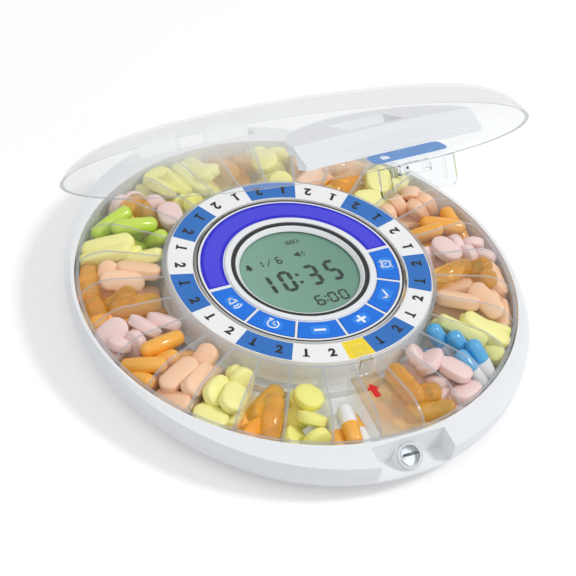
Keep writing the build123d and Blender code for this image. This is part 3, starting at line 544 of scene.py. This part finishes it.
# the hood stands high above the tray, and its hard shadow would hide the compartments
shadowless = clearFinishes + ("hood", "labelBlue")
# angles in degrees: faces flatter than the first join, corners sharper than the second soften
copySettings = dict(flatAngle=0.5, cornerAngle=35, bevelSteps=2)


def finishNode(node, finish, edge, s):
    bm = bmesh.new()
    bm.from_mesh(nodes[node].data)
    bmesh.ops.remove_doubles(bm, verts=bm.verts, dist=weldWithin)
    bmesh.ops.dissolve_limit(bm, angle_limit=radians(s["flatAngle"]), verts=bm.verts,
                             edges=bm.edges)
    materials = [finishes[finish]]
    # the narrow edge faces take the second material, a painted shade
    if node in edgeShadeFinish:
        edgeShadeName, way, limit, depth = edgeShadeFinish[node]
        opened = -lidOpen if bodyOf[node] == "lid" else 0
        way = Matrix.Rotation(opened, 3, "X") @ Vector(way)
        materials.append(finishes[edgeShadeName])
        end = max(vert.co.dot(way) for vert in bm.verts) - depth * mm
        for face in bm.faces:
            near = face.calc_center_median().dot(way) > end
            face.material_index = int(face.normal.dot(way) > limit and near)
    piece = linkObject(node + "_finish", bm, materials, bodyOf[node], made=False)
    if edge:
        bevel = piece.modifiers.new("softEdge", "BEVEL")
        bevel.width = edge * mm
        bevel.segments = s["bevelSteps"]
        bevel.limit_method = "ANGLE"
        bevel.angle_limit = radians(s["cornerAngle"])
        # keeps each flat face flat in its shading up to the softened edge
        even = piece.modifiers.new("evenNormals", "WEIGHTED_NORMAL")
        even.keep_sharp = True
    piece.visible_shadow = finish not in shadowless
    piece.visible_diffuse = finish not in clearFinishes
    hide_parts(node)


for node in sorted(nodes):
    finishNode(node, *nodeFinish[node], copySettings)
print("nodes finished")


# printed dosage ring: one home sector, then pairs of doses in blue and white

doses = 28
doseAngle = 360 / (doses + 1)
homeAngle = -90.0
ringPrint = dict(inner=reach("hub_housing") + 1.9, outer=reach("dosage_ring") - 0.35, proud=0.12,
                 digitRadius=54.5, digitSize=6.4, digitBold=0.30, digitDepth=0.08, footWidth=3.0,
                 footHeight=0.75)


def ringDigits(s):
    # the two digits around their own middles, the 1 with a foot
    shapes = [textMesh(word, s["digitSize"], s["digitDepth"], s["digitBold"]) for word in ("1", "2")]
    foot = bmesh.new()
    foot.from_mesh(shapes[0])
    middle = min(vert.co.y for vert in foot.verts) / mm + s["footHeight"] / 2
    barSlab(foot, (-s["footWidth"] / 2, middle), (s["footWidth"] / 2, middle), s["footHeight"],
            -s["digitDepth"] / 2, s["digitDepth"] / 2)
    foot.to_mesh(shapes[0])
    foot.free()
    return shapes


def addRingPrint(s):
    low = top("dosage_ring") - overlap
    high = low + s["proud"]
    sheets = dict(ringYellow=bmesh.new(), ringBlue=bmesh.new(), ringWhite=bmesh.new())
    half = doseAngle / 2
    arcSlab(sheets["ringYellow"], s["inner"], s["outer"], low, high, homeAngle - half,
            homeAngle + half)
    for pair in range(doses // 2):
        first = homeAngle + half + pair * 2 * doseAngle
        colour = "ringWhite" if pair % 2 else "ringBlue"
        arcSlab(sheets[colour], s["inner"], s["outer"], low, high, first, first + 2 * doseAngle)
    for colour, bm in sheets.items():
        linkObject("dosage_print_" + colour[4:].lower(), bm, [finishes[colour]], "tray")
    digits = bmesh.new()
    shapes = ringDigits(s)
    lift = s["digitDepth"] / 2 - overlap
    for dose in range(1, doses + 1):
        shape = shapes[(dose + 1) % 2].copy()
        shape.transform(facingOut(s["digitRadius"], homeAngle + dose * doseAngle, high + lift))
        digits.from_mesh(shape)
    linkObject("dosage_print_digits", digits, [finishes["ink"]], "tray")


addRingPrint(ringPrint)
print("ring printed")


# keys: a lighter patch and a white drawing on each cap, in mm around the cap's middle

keyPrint = dict(radius=40.0, patch=(8.6, 5.6), corner=1.6, cornerSteps=4, proud=0.06, line=0.62)


def drawSound(bm, low, high, line):
    strokeLine(bm, [(-2.9, -0.9), (-1.8, -0.9), (-0.1, -2.3), (-0.1, 2.3), (-1.8, 0.9), (-2.9, 0.9)],
               line, low, high, True)
    for radius in (1.9, 3.2):
        arcSlab(bm, radius - line / 2, radius + line / 2, low, high, -48, 48, centre=(0.2, 0),
                stepAngle=12)


def drawClock(bm, low, high, line):
    arcSlab(bm, 2.5 - line / 2, 2.5 + line / 2, low, high, 110, 430, stepAngle=12)
    strokeLine(bm, [(0, 1.5), (0, 0), (1.3, -0.5)], line, low, high)
    prism(bm, [(-1.9, 1.1), (-0.6, 3.1), (-2.9, 3.2)], low, high)


def drawMinus(bm, low, high, line):
    barSlab(bm, (-2.7, 0), (2.7, 0), 1.3, low, high)


def drawPlus(bm, low, high, line):
    # three bars that meet without overlapping
    barSlab(bm, (-2.6, 0), (2.6, 0), 1.35, low, high)
    for side in (-1, 1):
        barSlab(bm, (0, side * 0.675), (0, side * 2.6), 1.35, low, high)


def drawConfirm(bm, low, high, line):
    strokeLine(bm, [(-2.4, 0.1), (-0.7, -1.7), (2.5, 1.9)], line * 1.5, low, high)


def drawAlarm(bm, low, high, line):
    arcSlab(bm, 2.1 - line / 2, 2.1 + line / 2, low, high, 0, 360, stepAngle=12)
    strokeLine(bm, [(0, 1.2), (0, 0), (0.9, 0)], line * 0.8, low, high)
    for side in (-1, 1):
        strokeLine(bm, [(side * 1.3, 3.0), (side * 2.6, 1.9)], line, low, high)
        strokeLine(bm, [(side * 1.5, -2.0), (side * 2.1, -2.7)], line, low, high)


keyDrawings = dict(sound=drawSound, clock=drawClock, minus=drawMinus, plus=drawPlus,
                   confirm=drawConfirm, alarm=drawAlarm)


def addKeyPrint(s):
    # the keys share the front half circle evenly
    keyAngle = 180 / len(keyDrawings)
    width, depth = s["patch"]
    for number, (key, draw) in enumerate(keyDrawings.items()):
        high = top("button_" + key)
        place = facingOut(s["radius"], -180 + keyAngle * (number + 0.5), 0)
        patch = bmesh.new()
        barSlab(patch, (-width / 2, 0), (width / 2, 0), depth, high - overlap,
                high + s["proud"] / 2)
        bmesh.ops.bevel(patch, geom=uprights(patch.edges), offset=s["corner"] * mm,
                        segments=s["cornerSteps"], affect="EDGES", profile=0.5, material=-1)
        bmesh.ops.transform(patch, matrix=place, verts=patch.verts)
        linkObject("key_patch_" + key, patch, [finishes["capPatch"]], "key_" + key)
        drawing = bmesh.new()
        draw(drawing, high, high + s["proud"], s["line"])
        bmesh.ops.transform(drawing, matrix=place, verts=drawing.verts)
        linkObject("key_drawing_" + key, drawing, [finishes["capInk"]], "key_" + key)


addKeyPrint(keyPrint)


# bare band behind the display: the violet field inside its deep blue border

bandPrint = dict(gap=0.7, border=1.5, endAngle=2.6, proud=0.05)


def addBandField(s):
    outer = reach("band_label") - s["border"]
    inner = reach("display_bezel") + s["gap"] + s["border"]
    high = top("band_label")
    bm = bmesh.new()
    arcSlab(bm, inner, outer, high - overlap, high + s["proud"], s["endAngle"],
            180 - s["endAngle"])
    linkObject("band_field", bm, [finishes["bandFill"]], "base")


addBandField(bandPrint)
print("keys and band printed")


# display: bars of the lit and unlit segments and the small signs, in mm around its middle

segmentsOf = {"0": "abcdef", "1": "bc", "3": "abcdg", "5": "acdfg", "6": "acdefg"}
largeDigits = dict(width=6.6, height=13.6, stroke=1.95, y=-3.0,
                   places=[("1", -17.9), ("0", -7.6), ("3", 5.4), ("5", 15.6)])
smallDigits = dict(width=4.3, height=6.7, stroke=1.05, y=-19.0,
                   places=[("6", 0.5), ("0", 7.1), ("0", 12.6)])
countDigits = dict(width=2.9, height=4.7, stroke=0.75, y=10.9, places=[("1", -14.6), ("6", -5.1)])
# heights over the module in mm; point and gap are shares of a bar's width
displayPrint = dict(start=0.005, lit=0.03, unlit=0.01, point=0.46, gap=0.08)


def segmentBar(bm, start, end, stroke, low, high):
    # a bar with pointed ends
    verts = barSlab(bm, start, end, stroke, low, high)
    ends = uprights({edge for vert in verts for edge in vert.link_edges})
    bmesh.ops.bevel(bm, geom=ends, offset=displayPrint["point"] * stroke * mm, segments=1,
                    affect="EDGES", profile=0.5, material=-1)


def addDigit(bm, shown, x, s, low, high):
    # the named bars of one digit, a at its top and g across its middle
    right = (s["width"] - s["stroke"]) / 2
    up = (s["height"] - s["stroke"]) / 2
    gap = displayPrint["gap"] * s["stroke"]
    y = s["y"]
    bars = dict(a=((-right, up), (right, up)), b=((right, 0), (right, up)),
                c=((right, -up), (right, 0)), d=((-right, -up), (right, -up)),
                e=((-right, -up), (-right, 0)), f=((-right, 0), (-right, up)),
                g=((-right, 0), (right, 0)))
    for name in shown:
        (x1, y1), (x2, y2) = bars[name]
        flat = y1 == y2
        start = (x + x1 + (gap if flat else 0), y + y1 + (0 if flat else gap))
        end = (x + x2 - (gap if flat else 0), y + y2 - (0 if flat else gap))
        segmentBar(bm, start, end, s["stroke"], low, high)


def drawSigns(bm, low, high):
    # colons of the clock and the small clock, and the slash of the count
    for y in (-0.5, -5.6):
        dotSlab(bm, -1.7, y, 0.95, low, high)
    for y in (-17.4, -20.4):
        dotSlab(bm, 3.8, y, 0.55, low, high)
    barSlab(bm, (-11.6, 8.8), (-8.9, 12.8), 0.45, low, high)
    # bell
    prism(bm, [(-22.3, 9.3), (-18.6, 9.3), (-19.3, 10.3), (-19.5, 11.8), (-20.45, 12.7),
               (-21.4, 11.8), (-21.6, 10.3)], low, high)
    dotSlab(bm, -20.45, 8.9, 0.55, low, high)
    # loudspeaker with two waves
    prism(bm, [(3.4, 10.9), (4.4, 10.9), (6.0, 9.7), (6.0, 13.6), (4.4, 12.4), (3.4, 12.4)],
          low, high)
    for radius in (1.3, 2.3):
        arcSlab(bm, radius - 0.2, radius + 0.2, low, high, -45, 45, centre=(5.9, 11.65),
                stepAngle=15)
    # battery with three bars
    strokeLine(bm, [(3.2, 19.0), (8.9, 19.0), (8.9, 21.2), (3.2, 21.2)], 0.3, low, high, True)
    barSlab(bm, (9.3, 20.1), (9.9, 20.1), 1.1, low, high)
    for x in (4.3, 5.7, 7.1):
        barSlab(bm, (x, 19.4), (x, 20.8), 0.9, low, high)


def addDisplay(s):
    low = top("lcd_module") + s["start"]
    lit = bmesh.new()
    for size in (largeDigits, smallDigits, countDigits):
        for digit, x in size["places"]:
            addDigit(lit, segmentsOf[digit], x, size, low, low + s["lit"])
    drawSigns(lit, low, low + s["lit"])
    linkObject("display_segments_lit", lit, [finishes["segment"]], "base")
    # the bars that the first large digit leaves dark
    unlit = bmesh.new()
    addDigit(unlit, "adefg", largeDigits["places"][0][1], largeDigits, low, low + s["unlit"])
    linkObject("display_segments_unlit", unlit, [finishes["ghost"]], "base")


addDisplay(displayPrint)
print("display drawn")


# painted shadow: a dark ink line around the hub's rim stands in for the shade in the gap between the
# hub and the dosage ring

gapShadowLine = dict(width=0.85, setBack=0.12, proud=0.04)


def addGapShadowLine(s):
    outer = reach("hub_housing") - s["setBack"]
    high = top("hub_housing")
    bm = bmesh.new()
    arcSlab(bm, outer - s["width"], outer, high, high + s["proud"], 0, 360)
    linkObject("hub_gap_shadow_line", bm, [finishes["ink"]], bodyOf["hub_housing"])


addGapShadowLine(gapShadowLine)


# red arrow on the start plate, pointing to the middle

arrowPrint = dict(tip=-68.2, headWidth=6.2, headLength=3.6, stemWidth=3.0, length=8.4, proud=0.08)


def addArrow(s):
    high = top("start_plate")
    tip, neck, tail = s["tip"], s["tip"] - s["headLength"], s["tip"] - s["length"]
    wide, thin = s["headWidth"] / 2, s["stemWidth"] / 2
    bm = bmesh.new()
    prism(bm, [(0, tip), (-wide, neck), (-thin, neck), (-thin, tail), (thin, tail), (thin, neck),
               (wide, neck)], high, high + s["proud"])
    linkObject("start_arrow", bm, [finishes["arrowRed"]], "tray")


addArrow(arrowPrint)


# padlock on the latch label, drawn flat, then laid on the sloping face

padlock = dict(width=3.4, height=2.7, bodyY=-0.9, shackle=1.05, shackleY=0.45, line=0.6, x=-10.5,
               lift=0.14, proud=0.06)


def addPadlock(s):
    lowest, highest = [Vector(corner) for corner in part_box("latch_label")]
    faces = nodes["latch_label"].data.polygons
    outward = max(faces, key=lambda face: face.area * face.normal.z).normal
    slope = -atan2(outward.y, outward.z)
    middle = (lowest + highest) / 2
    bm = bmesh.new()
    barSlab(bm, (-s["width"] / 2, s["bodyY"]), (s["width"] / 2, s["bodyY"]), s["height"], 0,
            s["proud"])
    arcSlab(bm, s["shackle"] - s["line"] / 2, s["shackle"] + s["line"] / 2, 0, s["proud"], 0, 180,
            centre=(0, s["shackleY"]), stepAngle=15)
    place = Matrix.Translation(Vector((s["x"] * mm, middle.y, middle.z)))
    place = place @ Matrix.Rotation(slope, 4, "X") @ Matrix.Translation((0, 0, s["lift"] * mm))
    bmesh.ops.transform(bm, matrix=place, verts=bm.verts)
    linkObject("latch_padlock", bm, [finishes["capInk"]], "lid")


addPadlock(padlock)
print("labels printed")


# doses: tablets and capsules settle in each compartment like rods under their own weight

# the room of a compartment, under a ceiling that falls towards the shut lid's skirt
wedge = dict(floor=top("tray_floor"), inner=reach("tray_inner_wall") + 0.2,
             outer=reach("tray_outer_wall") - 1.8, halfAngle=doseAngle / 2, divider=0.75,
             ceiling=31.5, skirtStart=87.0, skirtFall=0.75)

doseShapes = dict(
    softgel=dict(form="capsule", length=24.0, width=9.8, thickness=9.8),
    shell=dict(form="capsule", length=22.0, width=7.8, thickness=7.8),
    oblong=dict(form="tablet", length=20.5, width=9.8, thickness=7.0),
    long=dict(form="tablet", length=24.5, width=9.2, thickness=7.0),
    oval=dict(form="tablet", length=16.0, width=11.4, thickness=6.0),
    round=dict(form="tablet", length=13.6, width=13.0, thickness=6.0),
)

# the shape of each kind and the finishes of its two halves
doseKinds = dict(
    gel=("softgel", ("amber",)), long=("long", ("paleYellow",)), peach=("oblong", ("peach",)),
    pink=("oval", ("pink",)), pale=("oval", ("paleYellow",)), lemon=("oval", ("lemon",)),
    round=("round", ("lemon",)), lime=("shell", ("lime",)), orange=("shell", ("orange",)),
    blueWhite=("shell", ("skyBlue", "shellWhite")), orangeWhite=("shell", ("orange", "shellWhite")),
)

# how many of each kind a compartment holds, counter-clockwise from home
doseCounts = [
    dict(gel=4), dict(pink=8), dict(blueWhite=5), dict(long=5), dict(peach=6),
    dict(peach=3, gel=3), dict(pink=7), dict(orange=5), dict(peach=6), dict(pale=8), dict(gel=4),
    dict(peach=5), dict(round=6), dict(gel=3), dict(long=5), dict(lemon=8), dict(pink=6, gel=1),
    dict(lime=5), dict(long=6), dict(peach=6, gel=1), dict(peach=1, gel=4), dict(pink=8),
    dict(orange=6), dict(peach=6), dict(pale=8), dict(gel=3), dict(round=6), dict(orangeWhite=3),
]

# where a rod starts, in mm and radians, before it falls
scatter = dict(seed=40, yaw=1.2, pitch=0.35, roll=0.8, near=74, far=90, aside=3, height=5,
               apart=2.6)
# how far it falls and leans outwards in each step, and how often overlaps are pushed apart
settling = dict(steps=260, weight=0.16, lean=0.45, rounds=2)


def nearestPoints(a, b, c, d):
    # shares along two segments at which they come closest
    u, v, w = b - a, d - c, a - c
    uu, uv, vv, uw, vw = u.dot(u), u.dot(v), v.dot(v), u.dot(w), v.dot(w)
    spread = uu * vv - uv * uv
    s = min(max((uv * vw - vv * uw) / spread, 0), 1) if spread > 1e-9 else 0.5
    t = min(max((uv * s + vw) / vv, 0), 1) if vv > 1e-9 else 0
    s = min(max((uv * t - uw) / uu, 0), 1) if uu > 1e-9 else 0
    return s, t


def keepInside(point, radius, w):
    # pushes the end of a rod back between the compartment's walls
    side = radians(w["halfAngle"])
    for sign in (-1, 1):
        over = radius + w["divider"] - (point.x * sin(side) - sign * point.y * cos(side))
        if over > 0:
            point += Vector((sin(side), -sign * cos(side), 0)) * over
    point.x = max(point.x, w["inner"] + radius)
    out = hypot(point.x, point.y)
    if out > w["outer"] - radius:
        point.x *= (w["outer"] - radius) / out
        point.y *= (w["outer"] - radius) / out
    point.z = max(point.z, w["floor"] + radius)
    roof = min(w["ceiling"], w["ceiling"] - w["skirtFall"] * (point.x - w["skirtStart"])) - radius
    point.z = min(point.z, max(roof, w["floor"] + radius))


def partRods(one, two):
    # pushes two rods apart where they overlap
    (a, b), (c, d) = one["ends"], two["ends"]
    s, t = nearestPoints(a, b, c, d)
    gap = (a.lerp(b, s)) - (c.lerp(d, t))
    far = gap.length
    over = one["radius"] + two["radius"] - far
    if over > 0:
        push = (gap / far if far > 1e-6 else Vector((0, 0, 1))) * over * 0.5
        a += push * (1 - s)
        b += push * s
        c -= push * (1 - t)
        d -= push * t


def keepLength(rod):
    # moves both ends of a rod equally until it has its own length again
    a, b = rod["ends"]
    line = b - a
    move = line.normalized() * ((rod["half"] * 2 - line.length) / 2)
    a -= move
    b += move


def settle(rods, w, s):
    for step in range(s["steps"]):
        weight = s["weight"] * (1 - step / s["steps"]) ** 0.5
        for rod in rods:
            for end in rod["ends"]:
                end.z -= weight
                end.x += weight * s["lean"]
        for _ in range(s["rounds"]):
            for i, one in enumerate(rods):
                for two in rods[:i]:
                    partRods(one, two)
            for rod in rods:
                for end in rod["ends"]:
                    keepInside(end, rod["radius"], w)
                keepLength(rod)


# a tablet's outline from the middle of its face to its band, in shares of its half width and
# half thickness
tabletProfile = [(0.0, 1.0), (0.5, 0.94), (0.84, 0.77), (0.975, 0.61), (1.0, 0.53)]
doseDetail = dict(around=12, along=8, tabletSteps=16, weldWithin=0.005, seam=0.5)


def doseMesh(name, shape, s):
    # one tablet or capsule, lying along X, its two halves with materials 0 and 1
    length, width, thickness = shape["length"], shape["width"], shape["thickness"]
    bm = bmesh.new()
    if shape["form"] == "capsule":
        bmesh.ops.create_uvsphere(bm, u_segments=s["around"], v_segments=s["along"],
                                  radius=width / 2 * mm, matrix=Matrix.Rotation(pi / 2, 4, "Y"))
    else:
        # a domed tablet: its band stays upright and its faces rise to a flat middle
        profile = [(share * width / 2, rise * thickness / 2) for share, rise in tabletProfile]
        profile += [(r, -z) for r, z in reversed(profile)]
        line = [bm.verts.new(Vector((r, 0, z)) * mm) for r, z in profile]
        edges = [bm.edges.new(pair) for pair in zip(line, line[1:])]
        bmesh.ops.spin(bm, geom=line + edges, cent=(0, 0, 0), axis=(0, 0, 1), angle=2 * pi,
                       steps=s["tabletSteps"])
        bmesh.ops.remove_doubles(bm, verts=bm.verts, dist=s["weldWithin"] * mm)
        bmesh.ops.recalc_face_normals(bm, faces=bm.faces)
    # the halves move apart, and the faces between them stretch to the full length
    for vert in bm.verts:
        if abs(vert.co.x) > 0.01 * mm:
            vert.co.x += (length - width) / 2 * mm * (1 if vert.co.x > 0 else -1)
    for face in bm.faces:
        face.material_index = 0 if face.calc_center_median().x < s["seam"] * mm else 1
    mesh = bpy.data.meshes.new(name)
    bm.to_mesh(mesh)
    bm.free()
    return mesh


doseMeshes = {name: doseMesh(name, shape, doseDetail) for name, shape in doseShapes.items()}


def startRods(number, counts, w, s):
    # the rods of one compartment, stacked in the order in which they are named
    dice = random.Random(s["seed"] + number)
    rods = []
    for kind, count in counts.items():
        shapeName, finish = doseKinds[kind]
        shape = doseShapes[shapeName]
        radius = (shape["width"] + shape["thickness"]) / 4
        half = max((shape["length"] - 2 * radius) / 2, 0.05)
        for _ in range(count):
            yaw = dice.uniform(-s["yaw"], s["yaw"])
            pitch = dice.uniform(-s["pitch"], s["pitch"])
            along = Vector((cos(yaw) * cos(pitch), sin(yaw) * cos(pitch), sin(pitch)))
            out, aside = dice.uniform(s["near"], s["far"]), dice.uniform(-s["aside"], s["aside"])
            start = Vector((out, aside, w["floor"] + s["height"] + s["apart"] * len(rods)))
            roll = dice.uniform(-s["roll"], s["roll"])
            rods.append(dict(shape=shapeName, finish=finish, radius=radius, half=half, roll=roll,
                             ends=(start - along * half, start + along * half),
                             flip=dice.random() < 0.5))
    return rods


def placeDose(rod):
    # lays a copy of the dose's mesh along its rod, turned about its own length
    a, b = rod["ends"]
    line = (b - a).normalized() * (-1 if rod["flip"] else 1)
    guide = Vector((0, 0, 1)) if abs(line.z) < 0.9 else Vector((1, 0, 0))
    sideways = guide.cross(line).normalized()
    axes = Matrix((line, sideways, line.cross(sideways))).transposed().to_4x4()
    return Matrix.Translation((a + b) / 2 * mm) @ axes @ Matrix.Rotation(rod["roll"], 4, "X")


def fillCompartment(number, counts, w):
    rods = startRods(number, counts, w, scatter)
    settle(rods, w, settling)
    names = []
    for rod in rods:
        names += [name for name in rod["finish"] if name not in names]
    bm = bmesh.new()
    turn = Matrix.Rotation(radians(homeAngle + number * doseAngle), 4, "Z")
    for rod in rods:
        dose = doseMeshes[rod["shape"]].copy()
        dose.transform(turn @ placeDose(rod))
        before = len(bm.faces)
        bm.from_mesh(dose)
        bm.faces.ensure_lookup_table()
        for face in bm.faces[before:]:
            half = min(face.material_index, len(rod["finish"]) - 1)
            face.material_index = names.index(rod["finish"][half])
    linkObject(f"doses_{number}", bm, [finishes[name] for name in names], "tray", smoothAngle=50)


for number, counts in enumerate(doseCounts, start=1):
    fillCompartment(number, counts, wedge)
print("compartments filled")
